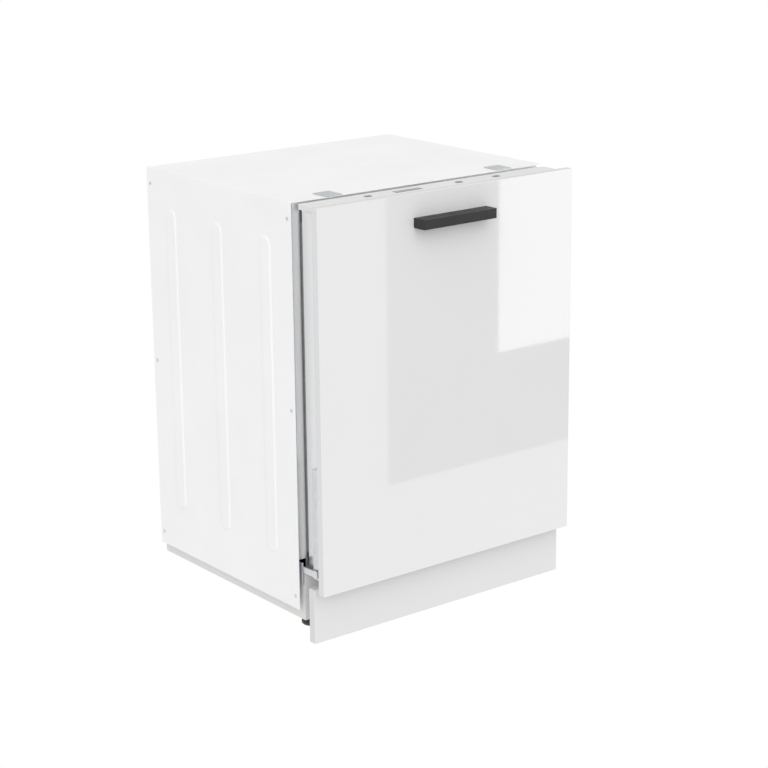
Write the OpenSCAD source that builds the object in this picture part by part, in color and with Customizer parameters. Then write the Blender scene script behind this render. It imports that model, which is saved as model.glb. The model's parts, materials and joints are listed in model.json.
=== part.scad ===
// Fully integrated built-in dishwasher, 60 cm class, with its furniture front, bar handle and plinth.
// Millimetres. X runs across, the front faces -Y, Z is up. The origin is on the floor,
// in the middle of the width and depth.

/* [Furniture front and plinth] */
// Width of the front board and of the plinth
front_w = 596; // [592:1:600]
// Height of the front board
front_h = 713; // [705:1:716]
// Thickness of the front board and of the plinth
board_t = 16; // [15:1:18]
// Height of the front board's lower edge above the floor
front_z = 100; // [98:1:104]
// Height of the plinth
plinth_h = 105; // [95:1:106]
// How far the plinth's face stands behind the front board's face
plinth_setback = 30; // [28:1:34]

/* [Handle] */
// Length of the handle
handle_l = 170; // [120:5:240]
// Height of the handle
handle_h = 18; // [14:1:22]
// How far the handle stands out of the front board
handle_d = 30; // [26:1:30]
// From the front board's top edge down to the handle's top face
handle_drop = 44; // [30:1:80]

/* [Machine] */
// Width over the side panels
body_w = 590; // [588:1:594]
// Height of the top panel
body_top = 811; // [811:1:812]
// Outer width of the wash tub
tub_w = 544; // [540:1:544]
// Radius of the tub's upper corners
tub_r = 30; // [20:1:40]
// Sheet thickness of the tub and of the door's inner pan
tub_t = 0.8; // [0.6:0.1:1.5]
// Sheet thickness of the casing
case_t = 0.8; // [0.6:0.1:1]

/* [Racks] */
// Pitch of the rack wires
wire_pitch = 48; // [40:1:60]
// Radius of the thin rack wires
wire_r = 1.5; // [1.2:0.1:1.8]
// Radius of the rack's rim wires
rim_r = 2.5; // [2.2:0.1:3]
// Radius of the lower rack's wheels
wheel_r = 16; // [14:1:16]

/* [Hidden] */

// Clearance of a pin in its bore, on the radius
fit = 0.05;
// Gap between solids of one body that lie side by side
touch = 0.05;
// How far a cutting solid runs past the face it cuts
over = 1;
round_fn = 48;
corner_fn = 32;
jet_fn = 16;

// Depth positions, front to back
handle_front_y = -298;
panel_face_y = handle_front_y + handle_d;
panel_back_y = panel_face_y + board_t;
plinth_face_y = panel_face_y + plinth_setback;
plinth_back_y = plinth_face_y + board_t;
sheet_y = -243;
sheet_t = 1;
door_in_y = -195;
flange_y = -190;
flange_t = 1.5;
casing_y = flange_y + 2;
tub_front_y = flange_y + flange_t + touch;
tub_back_y = 262;
tub_back_in_y = tub_back_y - tub_t;
body_back_y = 286;
port_end_y = 298;

// Heights
front_top = front_z + front_h;
door_z0 = 118;
door_z1 = 799;
fascia_z0 = door_z1 + 0.2;
fascia_z1 = 809;
tub_z0 = 158;
floor_top = 160;
tub_z1 = 785;
base_z0 = 28;
base_z1 = 128;
base_t = 3;
base_x = 284;

// Door hinge axis, along X
axis_y = -228;
axis_z = 130;
pin_r = 4;
pan_w = 556;
sheet_w = 576;
arm_x = 281;
arm_t = 3;
bracket_x = 286;

// Handle and its screws
handle_z1 = front_top - handle_drop;
handle_z0 = handle_z1 - handle_h;
handle_r = 2;
handle_end_wall = 10;
handle_side_wall = 6;
handle_roof = 5;
screw_x = handle_l / 2 - handle_end_wall / 2;
screw_z = (handle_z0 + handle_z1) / 2 + 3;
screw_r = 2;
screw_depth = 12;

// Sliding front: rails on the board, carriages on the door
rail_x = 185;
rail_z0 = 160;
rail_z1 = 720;
carriage_zs = [260, 600];
carriage_l = 40;

// Controls on the door's top edge
button_xs = [-150, 60, 150];
button_w = 13;
button_d = 9;
button_gap = 0.5;
button_skirt = 1.5;
button_z0 = 804;
display_x = -60;
display_w = 60;
display_d = 14;
fascia_w = 570;
fascia_t = 2;
control_y = -220;

// Detergent dispenser on the door's inner face
dispenser_z0 = 380;
dispenser_z1 = 520;
dispenser_half_w = 90;
cutout_half_w = 85;
cutout_z0 = 385;
cutout_z1 = 515;
chamber_x = -45;
chamber_w = 60;
chamber_z0 = 450;
chamber_z1 = 512;
chamber_back_y = -222;
guide_t = 3;
cap_x = 50;
cap_z = 480;
cap_bore_r = 12;

// Tub fittings
centre_y = 36;
sump_x = 115;
sump_y = 60;
sump_r = 62;
sump_z0 = 92;
filter_r = 30.5;
salt_x = -170;
salt_y = 150;
neck_r = 21;
neck_top = 163;
post_r = 9;
arm_z0 = 184;
arm_z1 = 195;
// Both arms turn inside the riser on the back wall
lower_arm_r = 190;
upper_arm_r = 190;
arm_half_w = 18;
jet_r = 2.5;
upper_arm_z0 = 424;
upper_arm_z1 = 436;
upper_post_r = 8;
riser_r = 10;
pipe_y = 246;
pipe_top = 765;
dock_z = 444;
dock_r = 6.5;

// Pumps in the base
pump_y = -60;
pump_z = 82;
pump_end_x = 30;
elbow_r = 9;
elbow_z = 97;
elbow_top = 110;

// Feet
foot_stem_r = 6;
foot_r = 20;
foot_nut_r = 11;
foot_x = 240;
foot_front_y = -150;
foot_rear_y = 238;
foot_places = [[-foot_x, foot_front_y], [foot_x, foot_front_y], [0, foot_rear_y]];
boss_top = 56;

// Ports on the back
inlet_x = -200;
drain_x = -100;
power_x = 210;
port_z = 80;
thread_r = 13.2;
spigot_r = 9.5;
gland_r = 4.2;
gland_outer_r = 10;
base_back_in_y = body_back_y - base_t - 0.2;

// Racks
rack_front_y = -176;
rack_back_y = 230;
lower_x = 246;
lower_z = 214;
lower_top = 320;
hanger_half_l = 14;
wheel_x = 254.5;
wheel_w = 8;
wheel_z = 182;
wheel_ys = [-154, 196];
wheel_pin_r = 3;
wheel_pin_end_x = 264.5;
track_top = 165.7;
tine_y = 40;
tine_z = 226;
tine_r = 2.5;
tine_xs = [-8, 212];
tine_h = 78;
tine_pitch = 25;
basket_low = [-234, -160, 222];
basket_high = [-160, 60, 316];
basket_t = 2;
upper_x = 238;
upper_z = 455;
upper_top = 560;
rail_mid_z = 512;
rail_front_y = -180;
rail_back_y = 250;
runner_x = 249;
shelf_x = -236;
shelf_z = 575;
shelf_ys = [-120, 60];
shelf_w = 84;
shelf_rod_r = 2;

WHITE = [0.92, 0.92, 0.92];
BLACK = [0.09, 0.09, 0.09];
STEEL = [0.70, 0.71, 0.72];
ZINC = [0.60, 0.62, 0.64];
LIGHT_PLASTIC = [0.86, 0.86, 0.85];
GREY_PLASTIC = [0.45, 0.46, 0.48];
DARK_PLASTIC = [0.18, 0.18, 0.19];
RUBBER = [0.30, 0.30, 0.30];
BLUE = [0.30, 0.42, 0.55];

// ---- Shared shapes ----

// A block from its low corner to its high corner
module block(low, high) {
    translate(low) cube(high - low);
}

module cyl_x(x0, x1, y, z, r) {
    translate([x0, y, z]) rotate([0, 90, 0]) cylinder(h = x1 - x0, r = r, $fn = round_fn);
}

module cyl_y(x, y0, y1, z, r) {
    translate([x, y1, z]) rotate([90, 0, 0]) cylinder(h = y1 - y0, r = r, $fn = round_fn);
}

module cyl_z(x, y, z0, z1, r) {
    translate([x, y, z0]) cylinder(h = z1 - z0, r = r, $fn = round_fn);
}

// What is drawn on the right, and again mirrored on the left
module both_sides() {
    children();
    mirror([1, 0, 0]) children();
}

// A flat outline in X and Z, drawn out from y0 to y1
module along_y(y0, y1) {
    translate([0, y1, 0]) rotate([90, 0, 0]) linear_extrude(y1 - y0) children();
}

// A rectangle on the floor line z0 with two rounded upper corners
module arch(half_w, z0, z1, r) {
    translate([-half_w, z0]) square([2 * half_w, z1 - z0 - r]);
    translate([-half_w + r, z1 - r - over]) square([2 * (half_w - r), r + over]);
    for (side = [-1, 1]) translate([side * (half_w - r), z1 - r]) circle(r = r, $fn = round_fn);
}

// A rectangle with four rounded corners, centred on the origin
module round_rect(w, h, r) {
    square([w - 2 * r, h], center = true);
    square([w, h - 2 * r], center = true);
    for (sx = [-1, 1], sy = [-1, 1])
        translate([sx * (w / 2 - r), sy * (h / 2 - r)]) circle(r = r, $fn = corner_fn);
}

// ---- Sliding furniture front ----

module front_panel() color(WHITE) {
    hole_r = 2.2;
    difference() {
        block([-front_w / 2, panel_face_y, front_z], [front_w / 2, panel_back_y, front_top]);
        for (side = [-1, 1])
            cyl_y(side * screw_x, panel_face_y - over, panel_back_y + over, screw_z, hole_r);
    }
}

// Solid bar with rounded front corners in plan, hollowed from below for the fingers
module handle() color(BLACK)
    difference() {
        translate([0, (handle_front_y + panel_face_y) / 2, handle_z0])
            linear_extrude(handle_h) union() {
                round_rect(handle_l, handle_d, handle_r);
                translate([-handle_l / 2, 0]) square([handle_l, handle_d / 2]);
            }
        block([-handle_l / 2 + handle_end_wall, handle_front_y + handle_side_wall, handle_z0 - over],
              [handle_l / 2 - handle_end_wall, panel_face_y - handle_side_wall, handle_z1 - handle_roof]);
        for (side = [-1, 1])
            cyl_y(side * screw_x, panel_face_y - screw_depth, panel_face_y + over, screw_z, screw_r + fit);
    }

module handle_screws() color(ZINC) {
    tip_gap = 1;
    head_r = 4;
    head_h = 2.5;
    for (side = [-1, 1]) {
        cyl_y(side * screw_x, panel_face_y - screw_depth + tip_gap, panel_back_y + touch, screw_z, screw_r);
        cyl_y(side * screw_x, panel_back_y + touch, panel_back_y + head_h, screw_z, head_r);
    }
}

// Two upright channels screwed to the back of the front board
module front_rails() color(LIGHT_PLASTIC) {
    half_w = 15;
    depth = 7;
    channel_half_w = 10;
    channel_y = [2, 5.5];
    mouth_half_w = 5;
    both_sides() difference() {
        block([rail_x - half_w, panel_back_y, rail_z0], [rail_x + half_w, panel_back_y + depth, rail_z1]);
        block([rail_x - channel_half_w, panel_back_y + channel_y[0], rail_z0 - over],
              [rail_x + channel_half_w, panel_back_y + channel_y[1], rail_z1 + over]);
        block([rail_x - mouth_half_w, panel_back_y + channel_y[1] - 0.5, rail_z0 - over],
              [rail_x + mouth_half_w, panel_back_y + depth + over, rail_z1 + over]);
    }
}

// T-shaped blocks on the door that run in the channels
module front_carriages() color(GREY_PLASTIC) {
    neck_half_w = 4;
    head_half_w = 9;
    head_y = [2.5, 4.8];
    both_sides() for (z = carriage_zs) {
        block([rail_x - neck_half_w, panel_back_y + head_y[1], z],
              [rail_x + neck_half_w, sheet_y, z + carriage_l]);
        block([rail_x - head_half_w, panel_back_y + head_y[0], z],
              [rail_x + head_half_w, panel_back_y + head_y[1], z + carriage_l]);
    }
}

// ---- Machine door ----

module door_outer_sheet() color(ZINC)
    block([-sheet_w / 2, sheet_y, door_z0], [sheet_w / 2, sheet_y + sheet_t, door_z1]);

// Stainless pan, open to the front: a face with a cut-out for the dispenser, and four walls
module door_inner_panel() color(STEEL) {
    wall_y = [sheet_y + sheet_t + touch, door_in_y - tub_t - touch];
    difference() {
        block([-pan_w / 2, door_in_y - tub_t, door_z0], [pan_w / 2, door_in_y, door_z1]);
        block([-cutout_half_w, door_in_y - tub_t - over, cutout_z0],
              [cutout_half_w, door_in_y + over, cutout_z1]);
    }
    for (z = [door_z0, door_z1 - tub_t])
        block([-pan_w / 2, wall_y[0], z], [pan_w / 2, wall_y[1], z + tub_t]);
    both_sides() block([pan_w / 2 - tub_t, wall_y[0], door_z0 + tub_t + touch],
                       [pan_w / 2, wall_y[1], door_z1 - tub_t - touch]);
}

// Arms on the door's sides, each bored for the hinge pin
module door_hinge_arms() color(ZINC) {
    eye_r = 12;
    arm_half_w = 10;
    arm_top = 330;
    foot_half_w = 8;
    foot_z = [200, 320];
    both_sides() difference() {
        union() {
            cyl_x(arm_x, arm_x + arm_t, axis_y, axis_z, eye_r);
            block([arm_x, axis_y - arm_half_w, axis_z], [arm_x + arm_t, axis_y + arm_half_w, arm_top]);
            block([pan_w / 2, axis_y - foot_half_w, foot_z[0]], [arm_x, axis_y + foot_half_w, foot_z[1]]);
        }
        cyl_x(arm_x - over, arm_x + arm_t + over, axis_y, axis_z, pin_r + fit);
    }
}

// Lip along the door's lower edge, between the lower rack's wheels
module door_seal() color(RUBBER) {
    half_w = 249;
    lip_h = 2.5;
    z = [150, 156];
    block([-half_w, door_in_y, z[0]], [half_w, door_in_y + lip_h, z[1]]);
}

// Two jaws beside the striker
module door_latch() color(DARK_PLASTIC) {
    jaw_x = 19;
    jaw_half_w = 6;
    jaw_y = [-226, -199];
    for (side = [-1, 1])
        translate([side * jaw_x, 0, 0])
            block([-jaw_half_w, jaw_y[0], fascia_z0], [jaw_half_w, jaw_y[1], fascia_z1 - fascia_t - touch]);
}

// Shell over the door's top edge, with holes for the buttons, the display and the striker
module control_fascia() color(LIGHT_PLASTIC) {
    wall = 1.5;
    y0 = sheet_y + sheet_t;
    y1 = door_in_y - 1;
    hole_z = [fascia_z1 - fascia_t - over, fascia_z1 + over];
    striker_half_w = 14;
    striker_z = [801, 807];
    difference() {
        block([-fascia_w / 2, y0, fascia_z0], [fascia_w / 2, y1, fascia_z1]);
        block([-fascia_w / 2 + fascia_t, y0 + wall, fascia_z0 - over],
              [fascia_w / 2 - fascia_t, y1 - wall, fascia_z1 - fascia_t]);
        for (x = button_xs) translate([x, control_y, 0])
            block([-button_w / 2 - button_gap, -button_d / 2 - button_gap, hole_z[0]],
                  [button_w / 2 + button_gap, button_d / 2 + button_gap, hole_z[1]]);
        translate([display_x, control_y, 0])
            block([-display_w / 2, -display_d / 2, hole_z[0]], [display_w / 2, display_d / 2, hole_z[1]]);
        block([-striker_half_w, y1 - wall - over, striker_z[0]], [striker_half_w, y1 + over, striker_z[1]]);
    }
}

module display_window() color(BLACK) {
    depth = 3.5;
    proud = 0.3;
    translate([display_x, control_y, fascia_z1])
        block([-display_w / 2 + touch, -display_d / 2 + touch, -depth],
              [display_w / 2 - touch, display_d / 2 - touch, proud]);
}

// Cap in the fascia's hole, with a skirt under the fascia's top wall
module push_button(x) translate([x, control_y, button_z0]) {
    cap_h = fascia_z1 + 1 - button_z0;
    block([-button_w / 2, -button_d / 2, 0], [button_w / 2, button_d / 2, cap_h]);
    block([-button_w / 2 - button_skirt, -button_d / 2 - button_skirt, 0],
          [button_w / 2 + button_skirt, button_d / 2 + button_skirt, button_skirt]);
}

module button_power() color(GREY_PLASTIC) push_button(button_xs[0]);
module button_program() color(GREY_PLASTIC) push_button(button_xs[1]);
module button_start() color(GREY_PLASTIC) push_button(button_xs[2]);

// Housing with a detergent chamber, lid guides and the rinse-aid neck
module detergent_dispenser() color(GREY_PLASTIC) {
    face_h = 4;
    guide_h = 7;
    inset = 0.5;
    back_y = -228;
    guide_xs = [chamber_x - chamber_w / 2 - 8 - guide_t, chamber_x + chamber_w / 2 + 8];
    difference() {
        union() {
            block([-dispenser_half_w, door_in_y, dispenser_z0],
                  [dispenser_half_w, door_in_y + face_h, dispenser_z1]);
            block([-cutout_half_w + inset, back_y, cutout_z0 + inset],
                  [cutout_half_w - inset, door_in_y, cutout_z1 - inset]);
            for (x = guide_xs)
                block([x, door_in_y + face_h - over, dispenser_z0],
                      [x + guide_t, door_in_y + guide_h, dispenser_z1]);
        }
        block([chamber_x - chamber_w / 2, chamber_back_y, chamber_z0],
              [chamber_x + chamber_w / 2, door_in_y + face_h + over, chamber_z1]);
        cyl_y(cap_x, chamber_back_y, door_in_y + face_h + over, cap_z, cap_bore_r);
    }
}

// Sliding lid with a finger groove
module dispenser_lid() color(LIGHT_PLASTIC) {
    lid_w = chamber_w + 15;
    lid_y = [door_in_y + 4.4, door_in_y + 6.6];
    groove_half_w = 15;
    groove_z = [505, 511];
    groove_depth = 1;
    difference() {
        block([chamber_x - lid_w / 2, lid_y[0], chamber_z0 - 4],
              [chamber_x + lid_w / 2, lid_y[1], chamber_z1 + 4]);
        block([chamber_x - groove_half_w, lid_y[1] - groove_depth, groove_z[0]],
              [chamber_x + groove_half_w, lid_y[1] + over, groove_z[1]]);
    }
}

module rinse_aid_cap() color(BLUE) {
    plug_l = 10;
    disc_r = 17;
    disc_y = [door_in_y + 4.4, door_in_y + 7];
    grip_half_l = 14;
    grip_half_w = 2.5;
    grip_h = 4;
    cyl_y(cap_x, door_in_y - plug_l, disc_y[0] + touch, cap_z, cap_bore_r - fit);
    cyl_y(cap_x, disc_y[0], disc_y[1], cap_z, disc_r);
    block([cap_x - grip_half_l, disc_y[1] - touch, cap_z - grip_half_w],
          [cap_x + grip_half_l, disc_y[1] + grip_h, cap_z + grip_half_w]);
}

// ---- Plinth, base and casing ----

module plinth_board() color(WHITE)
    block([-front_w / 2, plinth_face_y, 0], [front_w / 2, plinth_back_y, plinth_h]);

// Brackets between the base and the plinth
module plinth_brackets() color(ZINC) {
    half_w = 15;
    plate_t = 2;
    plate_z = [40, 90];
    web_z = [60, 66];
    for (x = [-180, 180]) translate([x, 0, 0]) {
        block([-half_w, plinth_back_y, plate_z[0]], [half_w, plinth_back_y + plate_t, plate_z[1]]);
        block([-half_w, plinth_back_y, web_z[0]], [half_w, flange_y, web_z[1]]);
        block([-half_w, flange_y - plate_t, plate_z[0]], [half_w, flange_y, plate_z[1]]);
    }
}

// Tray that the machine stands on: a floor with bosses for the feet, and four walls
module base_tray() color(LIGHT_PLASTIC) {
    wall_z0 = base_z0 + base_t + touch;
    side_y0 = flange_y + base_t + touch;
    side_y1 = body_back_y - base_t - touch;
    difference() {
        union() {
            block([-base_x, flange_y, base_z0], [base_x, body_back_y, base_z0 + base_t]);
            for (p = foot_places) cyl_z(p[0], p[1], base_z0, boss_top, foot_nut_r);
        }
        for (p = foot_places) cyl_z(p[0], p[1], base_z0 - over, boss_top + over, foot_stem_r + fit);
    }
    block([-base_x, flange_y, wall_z0], [base_x, flange_y + base_t, base_z1]);
    both_sides() block([base_x - base_t, side_y0, wall_z0], [base_x, side_y1, base_z1]);
    difference() {
        block([-base_x, body_back_y - base_t, wall_z0], [base_x, body_back_y, base_z1]);
        for (port = [[inlet_x, thread_r + 1], [drain_x, spigot_r + 1], [power_x, gland_outer_r + 2]])
            cyl_y(port[0], body_back_y - base_t - over, body_back_y + over, port_z, port[1]);
    }
}

// Side plates with the hinge pins that the door's arms turn on
module hinge_brackets() color(ZINC) {
    eye_r = 8;
    reach_half_h = 6;
    plate_y = -150;
    plate_z = [100, 142];
    foot_y = -180;
    foot_top = 127;
    pin_x0 = 279.5;
    both_sides() {
        cyl_x(bracket_x, bracket_x + arm_t, axis_y, axis_z, eye_r);
        block([bracket_x, axis_y, axis_z - reach_half_h],
              [bracket_x + arm_t, flange_y, axis_z + reach_half_h]);
        block([bracket_x, flange_y, plate_z[0]], [bracket_x + arm_t, plate_y, plate_z[1]]);
        block([base_x, foot_y, plate_z[0]], [bracket_x, plate_y, foot_top]);
        cyl_x(pin_x0, bracket_x + over, axis_y, axis_z, pin_r);
    }
}

// Tension springs that balance the door, lying along the base
module balance_springs() color(ZINC) {
    spring_x = 289;
    spring_r = 4.5;
    both_sides() cyl_y(spring_x, -140, 20, 60, spring_r);
}

module levelling_foot(p) {
    pad_h = 7;
    nut_top = 14;
    stem_z = [10, 52];
    cyl_z(p[0], p[1], 0, pad_h, foot_r);
    cyl_z(p[0], p[1], pad_h - over, nut_top, foot_nut_r);
    cyl_z(p[0], p[1], stem_z[0], stem_z[1], foot_stem_r);
}

module foot_front_left() color(BLACK) levelling_foot(foot_places[0]);
module foot_front_right() color(BLACK) levelling_foot(foot_places[1]);
module foot_rear() color(BLACK) levelling_foot(foot_places[2]);

module side_panels() color(WHITE) {
    lower_edge = 50;
    both_sides() block([body_w / 2 - case_t, casing_y, lower_edge], [body_w / 2, body_back_y, body_top]);
}

module rear_panel() color(ZINC)
    block([-body_w / 2 + case_t + touch, body_back_y - case_t, base_z1 + 0.5],
          [body_w / 2 - case_t - touch, body_back_y, body_top - case_t - touch]);

module top_panel() color(WHITE)
    block([-body_w / 2 + case_t + touch, casing_y, body_top - case_t],
          [body_w / 2 - case_t - touch, body_back_y, body_top]);

// Plates for the screws into the worktop's underside
module worktop_brackets() color(ZINC) {
    half_w = 18;
    plate_y = [3, 43];
    plate_t = 2;
    hole_y = 14;
    hole_r = 2.5;
    for (x = [-200, 200]) difference() {
        block([x - half_w, flange_y + plate_y[0], body_top],
              [x + half_w, flange_y + plate_y[1], body_top + plate_t]);
        cyl_z(x, flange_y + hole_y, body_top - over, body_top + plate_t + over, hole_r);
    }
}

// ---- Wash tub ----

// Sides and ceiling in one bent sheet, and the back wall welded in
module tub() color(STEEL) {
    inner_r = tub_r - tub_t;
    along_y(tub_front_y, tub_back_y) difference() {
        arch(tub_w / 2, floor_top + touch, tub_z1, tub_r);
        arch(tub_w / 2 - tub_t, floor_top - over, tub_z1 - tub_t, inner_r);
    }
    along_y(tub_back_in_y, tub_back_y)
        arch(tub_w / 2 - tub_t - touch, floor_top + touch, tub_z1 - tub_t - touch, inner_r);
}

// Floor with the sump's, the salt neck's and the spray arm post's holes
module tub_floor() color(STEEL) {
    sump_hole_r = sump_r - 4;
    neck_hole_r = neck_r + 5;
    post_hole_r = 13;
    difference() {
        block([-tub_w / 2, tub_front_y, tub_z0], [tub_w / 2, tub_back_y, floor_top]);
        for (hole = [[sump_x, sump_y, sump_hole_r],
                     [salt_x, salt_y, neck_hole_r],
                     [0, centre_y, post_hole_r]])
            cyl_z(hole[0], hole[1], tub_z0 - over, floor_top + over, hole[2]);
    }
}

// Frame round the tub's mouth, which carries the gasket and covers the casing's front edges
module front_flange() color(STEEL) {
    half_w = body_w / 2 - 0.5;
    z = [150, body_top - 0.5];
    apron_half_w = 280;
    along_y(flange_y, flange_y + flange_t) difference() {
        union() {
            translate([-half_w, z[0]]) square([2 * half_w, z[1] - z[0]]);
            translate([-apron_half_w, base_z1 + 0.5]) square([2 * apron_half_w, 30]);
        }
        arch(tub_w / 2 - tub_t, floor_top, tub_z1 - tub_t, tub_r - tub_t);
    }
}

// Bulb seal on the flange, open along the tub's floor
module tub_gasket() color(RUBBER) {
    depth = 4.7;
    width = 6;
    inner_half_w = tub_w / 2 - 0.5;
    foot_z = 162;
    along_y(flange_y - depth, flange_y - touch) difference() {
        arch(inner_half_w + width, foot_z, tub_z1 + width + 0.5, tub_r + 5);
        arch(inner_half_w, foot_z - over, tub_z1 + 0.5, tub_r);
    }
}

module latch_striker() color(ZINC) {
    tongue_half_w = 10;
    tongue_y = -216;
    plate_half_w = 16;
    plate_t = 1.5;
    z = [797, 803, 805];
    block([-tongue_half_w, tongue_y, z[1]], [tongue_half_w, flange_y, z[2]]);
    block([-plate_half_w, flange_y - plate_t, z[0]], [plate_half_w, flange_y - touch, z[2]]);
}

// ---- Water circuit ----

module sump() color(DARK_PLASTIC) {
    wall = 2.5;
    bottom = 3;
    difference() {
        cyl_z(sump_x, sump_y, sump_z0, tub_z0 - touch, sump_r);
        cyl_z(sump_x, sump_y, sump_z0 + bottom, tub_z0 + over, sump_r - wall);
    }
}

// Round plate with radial slots round the coarse filter
module filter_plate() color(STEEL) {
    plate_r = 74;
    plate_t = 1.2;
    slot = [9, 4, 3];
    slot_rings = [40, 54];
    difference() {
        cyl_z(sump_x, sump_y, floor_top + touch, floor_top + plate_t, plate_r);
        cyl_z(sump_x, sump_y, floor_top - over, floor_top + plate_t + over, filter_r + 1.5);
        for (a = [0:30:330], d = slot_rings)
            translate([sump_x, sump_y, floor_top - over]) rotate([0, 0, a])
                translate([d, -slot[1] / 2, 0]) cube(slot);
    }
}

// Cup of filter mesh with a grip to turn and lift it by
module coarse_filter() color(GREY_PLASTIC) {
    z = [98, 172];
    wall = 2;
    bottom = 3;
    grip_half_w = 3;
    grip_z = [168, 179];
    grip_half_l = filter_r - 1;
    difference() {
        cyl_z(sump_x, sump_y, z[0], z[1], filter_r);
        cyl_z(sump_x, sump_y, z[0] + bottom, z[1] + over, filter_r - wall);
    }
    block([sump_x - grip_half_l, sump_y - grip_half_w, grip_z[0]],
          [sump_x + grip_half_l, sump_y + grip_half_w, grip_z[1]]);
}

// Resin tank with the salt neck that comes up through the tub's floor
module softener() color(LIGHT_PLASTIC) {
    tank_low = [-250, 90, 50];
    tank_high = [-100, 212, 122];
    salt_z0 = 60;
    difference() {
        union() {
            block(tank_low, tank_high);
            cyl_z(salt_x, salt_y, tank_high[2] - over, neck_top, neck_r + 4);
        }
        cyl_z(salt_x, salt_y, salt_z0, neck_top + over, neck_r);
    }
}

module salt_cap() color(GREY_PLASTIC) {
    plug_l = 15;
    disc_r = 30;
    disc_z = [neck_top + 0.5, 172];
    grip_half_l = 24;
    grip_half_w = 3;
    grip_top = 178;
    cyl_z(salt_x, salt_y, neck_top - plug_l, disc_z[0] + over / 2, neck_r - fit);
    cyl_z(salt_x, salt_y, disc_z[0], disc_z[1], disc_r);
    block([salt_x - grip_half_l, salt_y - grip_half_w, disc_z[1] - over],
          [salt_x + grip_half_l, salt_y + grip_half_w, grip_top]);
}

// Volute, motor, and the suction pipe from the sump
module circulation_pump() color(DARK_PLASTIC) {
    volute_end_x = 110;
    motor_end_x = 165;
    volute_r = 42;
    motor_r = 34;
    suction_r = 13;
    suction_z = 100;
    cyl_x(pump_end_x, volute_end_x, pump_y, pump_z, volute_r);
    cyl_x(volute_end_x - over, motor_end_x, pump_y, pump_z, motor_r);
    cyl_y(sump_x, pump_y + motor_r - 4, sump_y - sump_r - 0.2, suction_z, suction_r);
}

// Heated tube at the pump's outlet, open towards the pump, and the elbow up to the spray arm's post
module flow_heater() color(STEEL) {
    closed_x = -80;
    tube_r = 32;
    wall = 2;
    difference() {
        union() {
            cyl_x(closed_x, pump_end_x - touch, pump_y, pump_z, tube_r);
            cyl_y(0, pump_y, centre_y, elbow_z, elbow_r);
            cyl_z(0, centre_y, elbow_z, elbow_top - touch, elbow_r);
        }
        cyl_x(closed_x + wall, pump_end_x + over, pump_y, pump_z, tube_r - wall);
    }
}

module drain_pump() color(GREY_PLASTIC) {
    body_x = [186, 252];
    body_z = 92;
    body_r = 27;
    pipe_r = 9;
    pipe_z = 100;
    cyl_x(sump_x + sump_r + 0.2, body_x[0] + 2, sump_y, pipe_z, pipe_r);
    cyl_x(body_x[0], body_x[1], sump_y, body_z, body_r);
}

// Solenoid valve with the threaded stub for the supply hose
module inlet_valve() color(LIGHT_PLASTIC) {
    half_w = 20;
    front_y = 226;
    top = 22;
    block([inlet_x - half_w, front_y, port_z - half_w], [inlet_x + half_w, base_back_in_y, port_z + top]);
    cyl_y(inlet_x, base_back_in_y - 1, port_end_y, port_z, thread_r);
}

module drain_spigot() color(GREY_PLASTIC) {
    front_y = 256;
    collar_r = 16;
    collar_l = 3.8;
    cyl_y(drain_x, front_y, port_end_y, port_z, spigot_r);
    cyl_y(drain_x, base_back_in_y - collar_l, base_back_in_y, port_z, collar_r);
}

// Mains terminal housing; its gland takes the supply cable
module terminal_box() color(BLACK) {
    half_w = 30;
    front_y = 244;
    bore_y = 262;
    z = [-22, 28];
    difference() {
        union() {
            block([power_x - half_w, front_y, port_z + z[0]],
                  [power_x + half_w, base_back_in_y, port_z + z[1]]);
            cyl_y(power_x, base_back_in_y - 1, port_end_y, port_z, gland_outer_r);
        }
        cyl_y(power_x, bore_y, port_end_y + over, port_z, gland_r);
    }
}

// Stationary post: the lower spray arm turns between its collars
module arm_post() color(GREY_PLASTIC) {
    stem_r = 12;
    flange_r = 20;
    flange_top = 166;
    shoulder_r = 14;
    cap_r = 13;
    cyl_z(0, centre_y, elbow_top, floor_top + over, stem_r);
    cyl_z(0, centre_y, floor_top + touch, flange_top, flange_r);
    cyl_z(0, centre_y, flange_top - over, arm_z0 - 0.5, shoulder_r);
    cyl_z(0, centre_y, arm_z0 - 4, arm_z1 + 2, post_r);
    cyl_z(0, centre_y, arm_z1 + 0.5, arm_z1 + 5, cap_r);
}

// A two-bladed arm with a hub, rounded ends and a row of jets
module spray_arm(reach, z0, z1, hub_r) translate([0, centre_y, z0]) {
    h = z1 - z0;
    jets = 5;
    jet_offset = 6;
    jet_depth = 3;
    first_jet_x = 30;
    difference() {
        union() {
            cylinder(h = h, r = hub_r + 14, $fn = round_fn);
            translate([0, 0, 1]) linear_extrude(h - 2) {
                square([2 * (reach - arm_half_w), 2 * arm_half_w], center = true);
                for (side = [-1, 1])
                    translate([side * (reach - arm_half_w), 0]) circle(r = arm_half_w, $fn = corner_fn);
            }
        }
        translate([0, 0, -over]) cylinder(h = h + 2 * over, r = hub_r + fit, $fn = round_fn);
        for (i = [1:jets], side = [-1, 1])
            translate([side * (first_jet_x + i * (reach - 50) / jets), side * jet_offset, h - jet_depth])
                cylinder(h = jet_depth + over, r = jet_r, $fn = jet_fn);
    }
}

module lower_spray_arm() color(GREY_PLASTIC) spray_arm(lower_arm_r, arm_z0, arm_z1, post_r);
module upper_spray_arm() color(GREY_PLASTIC)
    spray_arm(upper_arm_r, upper_arm_z0, upper_arm_z1, upper_post_r);

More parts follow.
